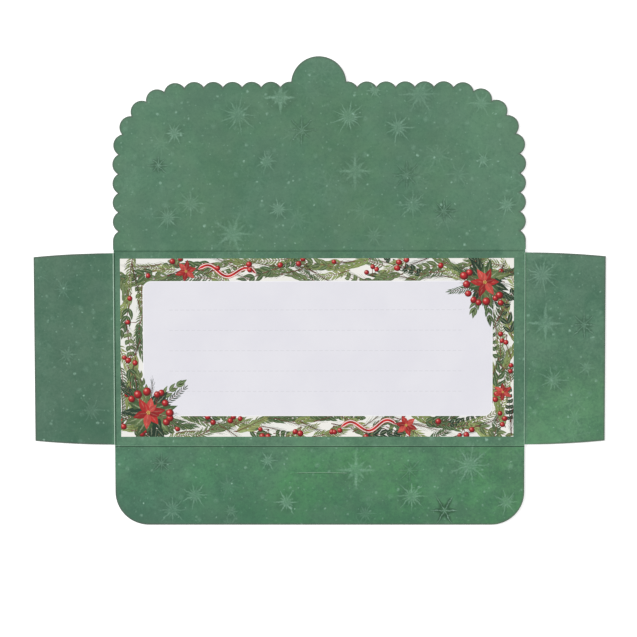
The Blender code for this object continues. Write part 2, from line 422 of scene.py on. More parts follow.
# Bouquets in the corners: a fan of sprigs, a collar of leaves in two rings, bunches of fruits and a bloom
BOUQUET_SEED = 77
FAN_ORDER = ("needle", "bay", "needle", "willow", "needle", "fern", "bay")
FAN_DEGREES = 280
FAN_STRAY = 0.12
FAN_LENGTHS = (0.7, 1.05)
FAN_BOW = 0.4
NEEDLE_REACH = 0.68
COLLAR_RINGS = (1.75, 1.35)
COLLAR_TURN = 0.35
COLLAR_STRAY = 0.15
COLLAR_LENGTHS = (0.9, 1.1)
COLLAR_CURL = 0.5
COLLAR_WIDTH = 0.62
COLLAR_STEPS = 8
BUNCHES = 3
BUNCH_TURN = 1.15
BUNCH_REACH = 0.75
FRUITS_IN_BUNCH = 3
BOUQUET_FRUIT_RADIUS = 1.45 * MM

# Centres in millimetres, with heading in degrees, reach, bloom radius and first sprig of each bouquet,
# the radius of each bloom of the border, and heading and length of each ribbon
BOUQUETS = (
    ((-71.0, -26.5), 52, 19.0, 6.6, 0),
    ((68.5, 27.5), -128, 16.0, 5.8, 4),
)
BLOOMS = (((-55.0, 32.2), 4.4), ((36.0, -31.8), 4.6), ((76.0, -18.0), 3.8))
RIBBONS = (((-50.0, 33.0), -4, 24.0), ((9.0, -32.6), 3, 23.0))


def srgb(red, green, blue):
    """A colour written in 0 to 255 as it shows, made linear."""
    channels = []
    for value in (red, green, blue):
        share = value / 255
        if share <= 0.04045:
            channels.append(share / 12.92)
        else:
            channels.append(((share + 0.055) / 1.055) ** 2.4)
    return (*channels, 1.0)


# Colours of the print, the picture's papers and its paints
CARD_GREEN = srgb(88, 127, 98)
CARD_GREEN_LOW = srgb(80, 144, 94)
BRIGHT_GREEN = srgb(92, 152, 98)
TEAL_GREEN = srgb(86, 126, 109)
LIGHT_GREEN = srgb(103, 142, 115)
PALE_GREEN = srgb(116, 144, 130)
DUSKY_GREEN = srgb(98, 118, 104)
GREYER_GREEN = srgb(72, 100, 84)
SNOW_GREEN = srgb(152, 190, 170)
SHADE_GREEN = srgb(58, 98, 78)
# Worn ink with a painted highlight, on the creases and on the slit's upper lip
WEAR_AND_HIGHLIGHT_GREEN = srgb(196, 216, 200)
# Dark green of the print's darks, and also the painted shade beside the creases and the slit
DEEP_GREEN = srgb(30, 62, 42)
CUT_GREEN = srgb(94, 104, 92)
# Grey of the band along the free edges: the cut edge showing, with painted shade
RIM_GREEN = srgb(86, 84, 82)
PICTURE_WHITE = srgb(238, 236, 229)
PICTURE_STAIN = srgb(233, 233, 228)
WRITING_PALE = srgb(228, 227, 233)
WRITING_STAIN = srgb(225, 224, 231)
RIM_PALE = srgb(240, 239, 242)
RIM_STAIN = srgb(236, 235, 240)
RULE_GREY = srgb(214, 213, 219)
BRUSH_DARK = srgb(24, 36, 28)
BRUSH_PALE = srgb(220, 226, 190)
LEAF_INKS = (
    srgb(40, 62, 46),
    srgb(72, 96, 60),
    srgb(102, 120, 76),
    srgb(126, 142, 82),
    srgb(148, 160, 98),
)
DARK_LEAF_INKS = LEAF_INKS[:3]
NEEDLE_INKS = (srgb(26, 44, 36), srgb(48, 72, 50), srgb(96, 116, 78))
TWIG_INK = srgb(112, 54, 48)
BORDER_ORDER = (
    ("willow", LEAF_INKS[2:]),
    ("needle", NEEDLE_INKS),
    ("bay", DARK_LEAF_INKS),
    ("fern", LEAF_INKS[1:4]),
    ("needle", NEEDLE_INKS),
    ("willow", LEAF_INKS[1:4]),
    ("round", DARK_LEAF_INKS),
    ("needle", NEEDLE_INKS),
    ("fern", LEAF_INKS[3:]),
)
PETAL_INKS = (srgb(188, 48, 48), srgb(156, 34, 38), srgb(208, 80, 74))
BERRY_INK = srgb(182, 42, 46)
BERRY_SHINE = srgb(240, 164, 152)
BERRY_SHADE = srgb(92, 22, 26)
STAMEN_INK = srgb(222, 186, 90)
RIBBON_INK = srgb(200, 42, 44)
RIBBON_EDGE = srgb(240, 232, 226)

# Uneven tone over the sheet: full and nil across and up the sheet, share and colour. The greyer, darker left
# flap is painted shade.
BOTTOM_TONE = ((85.0, -35.0), (-44.0, -38.0), 0.70, BRIGHT_GREEN)
FLAP_TONES = (
    ((-100.0, 150.0), (-76.0, -46.0), 0.78, SHADE_GREEN),
    # Painted shade: the left flap greyer on this row, and darker in its lower part two rows on
    ((-90.0, -82.0), (200.0, 300.0), 0.50, GREYER_GREEN),
    ((-78.0, -8.0), (-44.0, -38.0), 0.50, TEAL_GREEN),
    ((-86.5, -86.0), (-38.0, 2.0), 0.42, SHADE_GREEN),
    ((-116.0, -94.0), (-200.0, 100.0), 0.52, PALE_GREEN),
    ((86.5, 86.0), (30.0, 6.0), 0.26, PALE_GREEN),
    ((112.0, 92.0), (28.0, -4.0), 0.40, SHADE_GREEN),
    ((86.5, 86.0), (-16.0, 0.0), 0.38, BRIGHT_GREEN),
)


def operator(operation, swapped=False):
    """An operator between wires and numbers, which adds a Math node."""

    def operate(wire, *others):
        values = (*others, wire) if swapped else (wire, *others)
        return wire.tree.math(operation, *values)

    return operate


class Wire:
    """One output of a node. Sums, products and comparisons of wires and numbers add their own nodes."""

    def __init__(self, tree, socket):
        self.tree = tree
        self.socket = socket

    __add__ = operator("ADD")
    __sub__ = operator("SUBTRACT")
    __rsub__ = operator("SUBTRACT", swapped=True)
    __mul__ = operator("MULTIPLY")
    __truediv__ = operator("DIVIDE")
    __rtruediv__ = operator("DIVIDE", swapped=True)
    __lt__ = operator("LESS_THAN")
    __gt__ = operator("GREATER_THAN")
    __abs__ = operator("ABSOLUTE")


class Tree:
    """Adds nodes to one node tree and links them."""

    def __init__(self, tree):
        self.tree = tree

    def add(self, kind, inputs=None, **settings):
        node = self.tree.nodes.new("ShaderNode" + kind)
        for name, value in settings.items():
            setattr(node, name, value)
        for name, value in (inputs or {}).items():
            self.put(node.inputs[name], value)
        return node

    def read(self, kind, output, inputs=None, **settings):
        """Add a node and give the wire of one of its outputs."""
        return Wire(self, self.add(kind, inputs, **settings).outputs[output])

    def wires(self, node):
        """The outputs of a node by name."""
        return {socket.name: Wire(self, socket) for socket in node.outputs}

    def put(self, socket, value):
        if isinstance(value, Wire):
            self.tree.links.new(value.socket, socket)
        else:
            socket.default_value = value

    def fed(self, node, values):
        """Put values into a node's first inputs, and give its outputs by name."""
        for socket, value in zip(node.inputs, values):
            self.put(socket, value)
        return self.wires(node)

    def math(self, operation, *values, clamp=False):
        return self.fed(self.add("Math", operation=operation, use_clamp=clamp), values)["Value"]

    def vector(self, operation, *values):
        return self.fed(self.add("VectorMath", operation=operation), values)["Vector"]

    def length(self, vector):
        return self.fed(self.add("VectorMath", operation="LENGTH"), [vector])["Value"]

    def distance(self, place, centre):
        return self.length(self.vector("SUBTRACT", place, centre))

    def most(self, first, *others):
        """The greatest of several values."""
        for other in others:
            first = self.math("MAXIMUM", first, other)
        return first

    def split(self, vector):
        parts = self.wires(self.add("SeparateXYZ", {"Vector": vector}))
        return parts["X"], parts["Y"], parts["Z"]

    def join(self, x, y):
        return self.read("CombineXYZ", "Vector", {"X": x, "Y": y})

    def fall(self, value, near, far):
        """1 up to near, 0 from far on, with a soft slope between; near may also be the greater."""
        limits = {"Value": value, "From Min": near, "From Max": far, "To Min": 1.0, "To Max": 0.0}
        return self.read("MapRange", "Result", limits, interpolation_type="SMOOTHSTEP")

    def mix(self, share, first, second, kind="RGBA"):
        node = self.add("Mix", data_type=kind)
        first_input, second_input, output = MIX_SOCKETS[kind]
        for place, value in ((0, share), (first_input, first), (second_input, second)):
            self.put(node.inputs[place], value)
        return Wire(self, node.outputs[output])

    def noise(self, vector, scale, detail, roughness, output="Fac"):
        inputs = {"Vector": vector, "Scale": scale, "Detail": detail, "Roughness": roughness}
        return self.read("TexNoise", output, inputs)

    def group(self, group, **inputs):
        node = self.tree.nodes.new("ShaderNodeGroup")
        node.node_tree = group
        for name, value in inputs.items():
            self.put(node.inputs[name], value)
        return self.wires(node)


def numbers(*names):
    """Sockets of a node group that carry numbers."""
    return [(name, "Float") for name in names]


MOTIF_INPUTS = numbers("X", "Y", "Turn", "Rays", "Radius", "Width")


def new_group(name, inputs, outputs):
    """Start a shader node group, and give its tree, its inputs and a function that sets its outputs."""
    group = bpy.data.node_groups.new(name, "ShaderNodeTree")
    for way, sockets in (("INPUT", inputs), ("OUTPUT", outputs)):
        for label, kind in sockets:
            group.interface.new_socket(label, in_out=way, socket_type="NodeSocket" + kind)
    tree = Tree(group)
    given = tree.wires(group.nodes.new("NodeGroupInput"))
    result = group.nodes.new("NodeGroupOutput").inputs

    def give(**values):
        for label, value in values.items():
            tree.put(result[label], value)

    return group, tree, given, give


def snow_ray_group():
    """Fold the plane round a snowflake's centre onto one of its rays, and number the rays."""
    outputs = numbers("Along", "Across", "Reach", "Number")
    group, tree, given, give = new_group("snow_ray", numbers("X", "Y", "Turn", "Rays"), outputs)
    reach = tree.length(tree.join(given["X"], given["Y"]))
    angle = tree.math("ARCTAN2", given["Y"], given["X"]) + given["Turn"]
    turns = angle / TAU * given["Rays"] + 0.5
    bend = (tree.math("FRACT", turns) - 0.5) * TAU / given["Rays"]
    give(
        Along=reach * tree.math("COSINE", bend),
        Across=reach * abs(tree.math("SINE", bend)),
        Reach=reach,
        Number=tree.math("FLOORED_MODULO", tree.math("FLOOR", turns), given["Rays"]),
    )
    return group


def snow_star_group(ray):
    """A star of pointed rays of uneven length, long and short by turns, round a faint disc.

    Gap is what lies between the rays, and Core the fine line along the middle of each long ray.
    """
    inputs = [*MOTIF_INPUTS, *numbers("Between")]
    group, tree, given, give = new_group("snow_star", inputs, numbers("Mask", "Gap", "Core"))
    radius = given["Radius"]

    def rays(turn, full):
        folded = tree.group(ray, X=given["X"], Y=given["Y"], Turn=turn, Rays=given["Rays"])
        seed = tree.join(folded["Number"], full * RAY_SEED)
        loss = tree.read("TexWhiteNoise", "Value", {"Vector": seed}, noise_dimensions="2D")
        spent = tree.math("DIVIDE", folded["Along"], full * (1.0 - loss * RAY_LOSS), clamp=True)
        width = given["Width"] * (RAY_NARROWING - spent)
        ending = tree.fall(spent, *RAY_END)
        arm = tree.fall(folded["Across"], width * RAY_SOFTNESS, width) * ending
        return arm, tree.fall(folded["Across"], *CORE_EDGE) * ending, folded["Reach"]

    def within(near, far):
        return tree.fall(reach, radius * near, radius * far)

    long_rays, core, reach = rays(given["Turn"], radius * LONG_RAY)
    short_rays, *_ = rays(given["Turn"] + math.pi / given["Rays"], radius * SHORT_RAY)
    arm = tree.most(long_rays, short_rays * given["Between"])
    arm = arm * (1.0 - within(*HEART) * HEART_FADE)
    ring = tree.math("SUBTRACT", within(*GAP_OUTSIDE), within(*GAP_INSIDE), clamp=True)
    give(
        Mask=tree.math("ADD", arm * ARM_SHARE, within(*DISC) * DISC_SHARE, clamp=True),
        Gap=tree.math("MULTIPLY", ring, 1.0 - arm, clamp=True),
        Core=core,
    )
    return group


def snow_flake_group(ray):
    """A flake whose rays carry slanting side branches."""
    group, tree, given, give = new_group("snow_flake", MOTIF_INPUTS, numbers("Mask"))
    slant = math.radians(BRANCH_SLANT_DEGREES)
    folded = tree.group(ray, **{name: given[name] for name in ("X", "Y", "Turn", "Rays")})
    along, across = folded["Along"], folded["Across"]
    radius, width = given["Radius"], given["Width"]
    bare_ray = tree.fall(across, width * FLAKE_RAY_SOFTNESS, width)
    bare_ray = bare_ray * tree.fall(along, radius * FLAKE_RAY_END, radius)
    root = along - across / math.tan(slant)
    spacing = radius * BRANCH_SPACING
    step = tree.math("FRACT", root / spacing + 0.5)
    full, nil = BRANCH_EDGE
    branch = tree.fall(abs(step - 0.5) * spacing * math.sin(slant), width * full, width * nil)
    reach = (radius - root) * BRANCH_REACH
    branch = branch * tree.fall(across, reach * BRANCH_TIP, reach)
    first, last = BRANCH_ZONE
    branch = branch * (root > radius * first) * (root < radius * last)
    give(Mask=tree.most(bare_ray, branch * BRANCH_SHARE))
    return group


def placed_group():
    """The placed motif nearest to a place: the offset from its centre, its rays, radius and strength."""
    outputs = numbers("X", "Y", "Rays", "Radius", "Strength")
    group, tree, given, give = new_group("snow_placed", [("Place", "Vector")], outputs)
    place = tree.vector("WRAP", given["Place"], PRINT_HIGH, PRINT_LOW)
    nearest = math.dist(PRINT_LOW, PRINT_HIGH)
    offset = style = (0.0, 0.0, 0.0)
    for x, y, *look in PLACED_MOTIFS:
        here = tree.vector("SUBTRACT", place, (x, y, 0.0))
        reach = tree.length(here)
        closer = reach < nearest
        nearest = tree.math("MINIMUM", reach, nearest)
        offset = tree.mix(closer, offset, here, kind="VECTOR")
        style = tree.mix(closer, style, look, kind="VECTOR")
    x, y, _ = tree.split(offset)
    rays, radius, strength = tree.split(style)
    give(X=x, Y=y, Rays=rays, Radius=radius, Strength=strength)
    return group


def scatter_group():
    """Scatter centres over the sheet, one in each loose cell, with three random numbers for each."""
    inputs = [("Place", "Vector"), ("Cell", "Float"), ("Shift", "Vector"), ("Looseness", "Float")]
    outputs = numbers("X", "Y", "First", "Second", "Third")
    group, tree, given, give = new_group("snow_scatter", inputs, outputs)
    place = tree.vector("ADD", given["Place"], given["Shift"])
    settings = {"Vector": place, "Scale": 1.0 / given["Cell"], "Randomness": given["Looseness"]}
    cells = tree.wires(tree.add("TexVoronoi", settings, voronoi_dimensions="2D", feature="F1"))
    x, y, _ = tree.split(tree.vector("SUBTRACT", place, cells["Position"]))
    chance = tree.wires(tree.add("SeparateColor", {"Color": cells["Color"]}))
    give(X=x, Y=y, First=chance["Red"], Second=chance["Green"], Third=chance["Blue"])
    return group


def snow_print_group():
    """The whole snow print, read at a place on the sheet: a light mask, a dark mask and two slow tones."""
    ray = snow_ray_group()
    shapes = {"star": snow_star_group(ray), "flake": snow_flake_group(ray)}
    scatter = scatter_group()
    outputs = numbers("Light", "Dark", "Cloud", "Hue")
    group, tree, given, give = new_group("snow_print", [("Place", "Vector")], outputs)
    wobble = tree.noise(given["Place"], *WOBBLE_NOISE, output="Color")
    wobble = tree.vector("SUBTRACT", wobble, (0.5, 0.5, 0.5))
    place = tree.vector("ADD", given["Place"], tree.vector("MULTIPLY", wobble, PRINT_WOBBLE))

    def scattered(cell, shift, looseness):
        return tree.group(scatter, Place=place, Cell=cell, Shift=shift, Looseness=looseness)

    def ranged(share, low, high):
        return share * (high - low) + low

    placed = tree.group(placed_group(), Place=place)
    strength, radius, rays = placed["Strength"], placed["Radius"], placed["Rays"]
    darker = strength < 0.0
    width = tree.math("MINIMUM", tree.most(radius * RAY_WIDTH / rays, FINEST_RAY), BROADEST_RAY)
    width = width * ranged(darker, 1.0, DARK_RAY_WIDENING)
    motif = {"X": placed["X"], "Y": placed["Y"], "Turn": 0.0, "Rays": rays, "Radius": radius}
    between = ranged(darker, SHORT_RAY_SHARE, 0.0)
    star = tree.group(shapes["star"], Width=width, Between=between, **motif)
    flake = tree.group(shapes["flake"], Width=FEATHER_WIDTH, **motif)
    feathered = flake["Mask"] * (radius > FEATHERED_FROM) * FEATHER_SHARE
    mark = strength * tree.most(star["Mask"], feathered) * PLACED_STRENGTH
    lights = [tree.most(mark, 0.0), star["Core"] * strength * -CORE_SHARE]
    dark = tree.most(tree.most(mark * -DARK_SHARE, 0.0), star["Gap"] * strength * GAP_SHARE)

    for shape, cell, shift, radii, strengths, style in FINE_MOTIFS:
        spot = scattered(cell, shift, STAR_LOOSENESS)
        motif = {"X": spot["X"], "Y": spot["Y"], "Turn": spot["Second"], **style}
        mask = tree.group(shapes[shape], Radius=ranged(spot["First"], *radii), **motif)["Mask"]
        lights.append(mask * ranged(spot["Third"], *strengths))

    for cell, shift, radii, share in DOTS:
        spot = scattered(cell, shift, 1.0)
        size = ranged(spot["First"], *radii)
        dot = tree.fall(tree.length(tree.join(spot["X"], spot["Y"])), size * DOT_SOFTNESS, size)
        lights.append(dot * (spot["Second"] * share))

    grain = tree.fall(tree.noise(place, *GRAIN_NOISE), *GRAIN_EDGE)
    fade = tree.fall(tree.noise(place, *FADE_NOISE), *FADE_EDGE)
    light = tree.most(*lights) * ranged(grain, *GRAIN_RANGE)
    cloud, *finer = [tree.noise(place, *noise) * share for noise, share in CLOUDS]
    for more in finer:
        cloud = cloud + more
    give(
        Light=tree.math("MULTIPLY", light, ranged(fade, *FADE_RANGE), clamp=True),
        Dark=dark,
        Cloud=cloud,
        Hue=tree.noise(tree.vector("ADD", place, HUE_SHIFT), *HUE_NOISE),
    )
    return group


def new_material(name, roughness):
    """Start a material, and give it, its tree and its Principled shader."""
    material = bpy.data.materials.new(name)
    material.use_nodes = True
    shader = material.node_tree.nodes["Principled BSDF"]
    shader.inputs["Roughness"].default_value = roughness
    shader.inputs["Specular IOR Level"].default_value = CARD_GLOSS
    return material, Tree(material.node_tree), shader


def snow_material(name, snow, shift):
    """Card with the snow print: worn light with a painted highlight on creases and slit, with painted shade
    beside them and at the edges.
    """
    material, tree, shader = new_material(name, CARD_ROUGHNESS)
    sheet = tree.read("UVMap", "UV", uv_map="sheet")
    place = tree.vector("ADD", sheet, shift)
    printed = tree.group(snow, Place=place)
    right, up, _ = tree.split(sheet)
    middle = tree.fall(tree.distance(sheet, PRINT_MIDDLE), *MIDDLE_EDGE) * (up > -CREASE_HEIGHT)
    dusk = tree.noise(tree.vector("ADD", place, DUSK_SHIFT), *DUSK_NOISE)
    mottle = tree.fall(tree.noise(place, *MOTTLE_NOISE), *MOTTLE_EDGE)
    mottled = (up < -CREASE_HEIGHT) * MOTTLE_GAIN + MOTTLE_SHARE
    clouded = (up < CREASE_HEIGHT) * CLOUD_GAIN + CLOUD_SHARE

    def toned(across, rise, share, ink):
        return tree.fall(right, *across) * tree.fall(up, *rise), share, ink

    # Slow tones over the sheet, where the greyer, darker left flap among the flap tones is painted shade
    base = tree.mix(tree.fall(up, *BOTTOM_EDGE), CARD_GREEN, CARD_GREEN_LOW)
    for mask, share, ink in (
        toned(*BOTTOM_TONE),
        (tree.fall(printed["Hue"], *HUE_EDGE), HUE_SHARE, TEAL_GREEN),
        (middle, MIDDLE_SHARE, LIGHT_GREEN),
        *(toned(*tone) for tone in FLAP_TONES),
        (tree.fall(printed["Cloud"], *CLOUD_EDGE), clouded, SHADE_GREEN),
        (tree.fall(dusk, *DUSK_EDGE), DUSK_SHARE, DUSKY_GREEN),
        (mottle, mottled, SHADE_GREEN),
    ):
        base = tree.mix(mask * share, base, ink)
    base = tree.mix(printed["Dark"], base, DEEP_GREEN)
    base = tree.mix(printed["Light"], base, SNOW_GREEN)
    # Marks of the pieces: a grey band with painted shade at the free edges, painted shade beside the creases
    # and the slit, and worn ink with a painted highlight on them
    for mark, ink in (("rim", RIM_GREEN), ("painted_shade", DEEP_GREEN), ("wear_and_highlight", WEAR_AND_HIGHLIGHT_GREEN)):
        base = tree.mix(tree.read("Attribute", "Fac", attribute_name=mark), base, ink)
    tree.put(shader.inputs["Base Color"], base)
    fibre = tree.noise(sheet, *CARD_NOISE)
    tooth = {"Strength": TOOTH_STRENGTH, "Distance": TOOTH_DEPTH, "Height": fibre}
    tree.put(shader.inputs["Normal"], tree.read("Bump", "Normal", tooth))
    return material


def cut_edge_material():
    """The die-cut edge of the card."""
    material, tree, shader = new_material("cut_edge", EDGE_ROUGHNESS)
    fibre = tree.noise(tree.read("TexCoord", "Object"), *CUT_NOISE)
    tree.put(shader.inputs["Base Color"], tree.mix(fibre, SHADE_GREEN, CUT_GREEN))
    return material


def plain_print_material(name, colour, stain):
    """A flat printed colour, with the slight unevenness of ink on uncoated card."""
    material, tree, shader = new_material(name, CARD_ROUGHNESS)
    place = tree.read("TexCoord", "Object")
    paper = tree.mix(tree.fall(tree.noise(place, *PAPER_NOISE), *PAPER_EDGE), colour, stain)
    tree.put(shader.inputs["Base Color"], paper)
    return material, tree, shader, place, paper


def writing_material():
    """The pale panel with faint dashed lines to write on."""
    material, tree, shader, place, paper = plain_print_material("writing_panel", WRITING_PALE, WRITING_STAIN)
    x, y, _ = tree.split(place)
    row = (y - RULE_LOWEST) / RULE_PITCH
    near = tree.math("ROUND", row)
    line = abs(row - near) * RULE_PITCH < RULE_HALF_WIDTH
    dash = tree.math("FRACT", x / DASH_PITCH) < DASH_SHARE
    for inside in (near > -0.5, near < RULE_COUNT - 0.5, dash, x > RULE_REACH[0], x < RULE_REACH[1]):
        line = line * inside
    tree.put(shader.inputs["Base Color"], tree.mix(line, paper, RULE_GREY))
    return material


def brush_group():
    """Brush work inside one painted mark: wet darker edges, a pale midrib, a shaded half and mottling."""
    inputs = [("Ink", "Color"), *numbers("Along", "Across", "Rib"), ("Place", "Vector")]
    group, tree, given, give = new_group("brush_work", inputs, [("Color", "Color")])
    side = given["Across"] - 0.5
    out = abs(side)
    dark = tree.mix(BRUSH_DEPTH, given["Ink"], BRUSH_DARK)
    pale = tree.mix(0.5, given["Ink"], BRUSH_PALE)
    wet = tree.fall(0.5 - out, *WET_EDGE)
    rib = tree.fall(out, *RIB_EDGE) * tree.fall(given["Along"], *RIB_END)
    wash = tree.fall(tree.noise(given["Place"], *WASH_NOISE), *WASH_EDGE)
    colour = tree.mix(wet * WET_SHARE, given["Ink"], dark)
    colour = tree.mix((side > 0.0) * SHADED_HALF_SHARE, colour, dark)
    colour = tree.mix(rib * given["Rib"], colour, pale)
    give(Color=tree.mix(wash * WASH_SHARE, colour, dark))
    return group


def stroke_material(name):
    """Start a material of painted marks: its tree, colour input, place in the mark and the mark's ink."""
    material, tree, shader = new_material(name, CARD_ROUGHNESS)
    stroke = tree.read("UVMap", "UV", uv_map="stroke")
    ink = tree.read("Attribute", "Color", attribute_name="ink")
    return material, tree, shader.inputs["Base Color"], stroke, ink


def painted_material(name, brush, rib):
    """Painted leaves, stems and petals: each mark has its own ink."""
    material, tree, colour, stroke, ink = stroke_material(name)
    along, across, _ = tree.split(stroke)
    place = tree.read("TexCoord", "Object")
    painted = tree.group(brush, Ink=ink, Along=along, Across=across, Place=place, Rib=rib)
    tree.put(colour, painted["Color"])
    return material


def berry_material():
    """Round painted fruit: shaded towards the lower right, with a small highlight."""
    material, tree, colour, stroke, ink = stroke_material("painted_berry")
    lit = tree.fall(tree.distance(stroke, BERRY_LIT), *BERRY_LIT_EDGE)
    glint = tree.fall(tree.distance(stroke, BERRY_GLINT), *BERRY_GLINT_EDGE)
    shaded = tree.mix(lit, BERRY_SHADE, ink)
    tree.put(colour, tree.mix(glint * BERRY_GLINT_SHARE, shaded, BERRY_SHINE))
    return material


def ribbon_material():
    """Painted ribbon: red with a pale line along each edge and soft folds of shade."""
    material, tree, colour, stroke, _ = stroke_material("painted_ribbon")
    along, across, _ = tree.split(stroke)
    out = abs(across - 0.5)
    wave = tree.math("SINE", along * (RIBBON_FOLDS * TAU))
    folded = tree.mix(tree.fall(wave, *RIBBON_FOLD_EDGE), RIBBON_INK, BERRY_SHADE)
    folded = tree.mix(0.5, folded, RIBBON_INK)
    inner, outer = RIBBON_LINE
    tree.put(colour, tree.mix((out > inner) * (out < outer), folded, RIBBON_EDGE))
    return material


def new_piece(name, shape, materials, smooth=False):
    """Turn a bmesh into an object of the scene."""
    mesh = bpy.data.meshes.new(name)
    shape.to_mesh(mesh)
    shape.free()
    for material in materials:
        mesh.materials.append(material)
    if smooth:
        mesh.shade_smooth()
    piece = bpy.data.objects.new(name, mesh)
    bpy.context.scene.collection.objects.link(piece)
    return piece


def extrude(shape, travel):
    """Draw open faces out along a vector into a solid, and turn every face outwards."""
    grown = bmesh.ops.extrude_face_region(shape, geom=shape.faces[:], use_keep_orig=True)["geom"]
    moved = [item for item in grown if isinstance(item, bmesh.types.BMVert)]
    bmesh.ops.translate(shape, verts=moved, vec=travel)
    bmesh.ops.recalc_face_normals(shape, faces=shape.faces)


def bevel(shape, geometry, width, segments, affect="EDGES", clamp=False):
    """Bevel edges or corners, and give the new points."""
    return bmesh.ops.bevel(
        shape,
        geom=geometry,
        offset=width,
        segments=segments,
        profile=0.5,
        affect=affect,
        material=-1,
        clamp_overlap=clamp,
    )["verts"]


def rounded_plate(name, low, high, corner, bottom, thickness, material):
    """A flat printed panel with rounded corners, as a thin film on the back panel."""
    shape = bmesh.new()
    corners = bmesh.ops.create_grid(shape, x_segments=1, y_segments=1, size=0.5)["verts"]
    size = high - low
    for vert in corners:
        vert.co = (low.x + (vert.co.x + 0.5) * size.x, low.y + (vert.co.y + 0.5) * size.y, bottom)
    if corner:
        bevel(shape, corners, corner, CORNER_SEGMENTS, affect="VERTICES")
    extrude(shape, (0, 0, thickness))
    piece = new_piece(name, shape, [material])
    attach(piece, "panel")


class Brush:
    """Lays flat painted marks of one kind, each at its own small height, and then makes them one piece."""

    def __init__(self, name, material):
        self.name = name
        self.material = material
        self.batches = []
        self.open_batch()

    def open_batch(self):
        """Start the next batch of marks; small batches keep the work on each mark short."""
        self.shape = bmesh.new()
        self.ink = self.shape.verts.layers.float_color.new("ink")
        self.stroke = self.shape.loops.layers.uv.new("stroke")
        self.marks = 0

    def close_batch(self):
        batch = bpy.data.meshes.new("batch")
        self.shape.to_mesh(batch)
        self.shape.free()
        self.batches.append(batch)

    def count_mark(self):
        self.marks += 1
        if self.marks == MARKS_IN_BATCH:
            self.close_batch()
            self.open_batch()

    def mark(self, course, half_width, steps, ink, height):
        """A mark along a course, which gives points and their left side; half_width is its reach to each."""
        grid = bmesh.ops.create_grid(self.shape, x_segments=steps, y_segments=1, size=0.5, calc_uvs=True)
        for vert in grid["verts"]:
            along = vert.co.x + 0.5
            side = vert.co.y * 2
            point, left = course(along)
            place = point + left * side * half_width(along)
            vert.co = (place.x, place.y, height)
            vert[self.ink] = ink
        self.count_mark()

    def leaf(self, base, heading, length, bend, width, steps, ink, height):
        """A bowed, pointed mark, such as a leaf or a petal."""
        self.mark(bow(base, heading, length, bend), leaf_outline(width), steps, ink, height)

    def disc(self, centre, radius, stretch, turn, segments, ink, height):
        """A round or oval mark."""
        ring = bmesh.ops.create_circle(self.shape, cap_ends=True, segments=segments, radius=radius)["verts"]
        reach = 2 * radius * stretch
        for vert in ring:
            local = Vector((vert.co.x * stretch, vert.co.y))
            local.rotate(Matrix.Rotation(turn, 2))
            for corner in vert.link_loops:
                corner[self.stroke].uv = (local.x / reach + 0.5, local.y / reach + 0.5)
            vert.co = (centre.x + local.x, centre.y + local.y, height)
            vert[self.ink] = ink
        self.count_mark()

    def finish(self):
        """Clip the marks to the picture, give them their film and make the piece."""
        self.close_batch()
        shape = bmesh.new()
        for batch in self.batches:
            shape.from_mesh(batch)
            bpy.data.meshes.remove(batch)
        for corner, side in (
            (PICTURE_LOW, (-1, 0, 0)),
            (PICTURE_LOW, (0, -1, 0)),
            (PICTURE_HIGH, (1, 0, 0)),
            (PICTURE_HIGH, (0, 1, 0)),
        ):
            bmesh.ops.bisect_plane(
                shape,
                geom=shape.verts[:] + shape.edges[:] + shape.faces[:],
                plane_co=(corner.x, corner.y, 0),
                plane_no=side,
                clear_outer=True,
            )
        extrude(shape, (0, 0, INK_FILM))
        piece = new_piece(self.name, shape, [self.material])
        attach(piece, "panel")


def ink_height(step):
    """Height of one of the ink's thin levels."""
    return CARD_TOP + GROUND_FILM + step * INK_STEP


def heading_vector(heading):
    return Vector((math.cos(heading), math.sin(heading)))


def left_of(forward):
    return Vector((-forward.y, forward.x))


def bow(base, heading, length, bend):
    """The course of a mark that turns evenly by bend over its length."""

    def course(along):
        here = heading + bend * along
        left = left_of(heading_vector(here))
        if abs(bend) < STRAIGHT_BEND:
            return base + heading_vector(heading) * length * along, left
        chord = Vector((math.sin(here) - math.sin(heading), math.cos(heading) - math.cos(here)))
        return base + length / bend * chord, left

    return course


def sway(base, heading, length, swing, waves):
    """The course of a ribbon that swings from side to side."""
    forward = heading_vector(heading)
    side = left_of(forward)

    def course(along):
        phase = TAU * waves * along
        point = base + forward * length * along + side * swing * math.sin(phase)
        slope = swing * TAU * waves * math.cos(phase) / length
        return point, left_of((forward + side * slope).normalized())

    return course


def leaf_outline(width):
    """Half width of a leaf, widest before its middle and pointed at its tip."""

    def half_width(along):
        fullness = math.sin(math.pi * along ** LEAF_BELLY) if along < 1 else 0.0
        return max(width / 2 * max(fullness, LEAF_FOOT * (1 - along)), FINEST_MARK)

    return half_width


def stem_outline(width):
    """Half width of a stem, which thins towards its tip."""

    def half_width(along):
        return max(width / 2 * (1 - STEM_TAPER * along), FINEST_MARK)

    return half_width


def stray(chance, most):
    """A random amount, up to most either way."""
    return chance.uniform(-most, most)


def varied(ink, chance, amount=INK_VARIATION):
    """The same ink, a little thinner or thicker, and warmer or cooler."""
    share = 1 + stray(chance, amount)
    warm = 1 + stray(chance, amount) / 3
    return (ink[0] * share * warm, ink[1] * share, ink[2] * share / warm, 1.0)


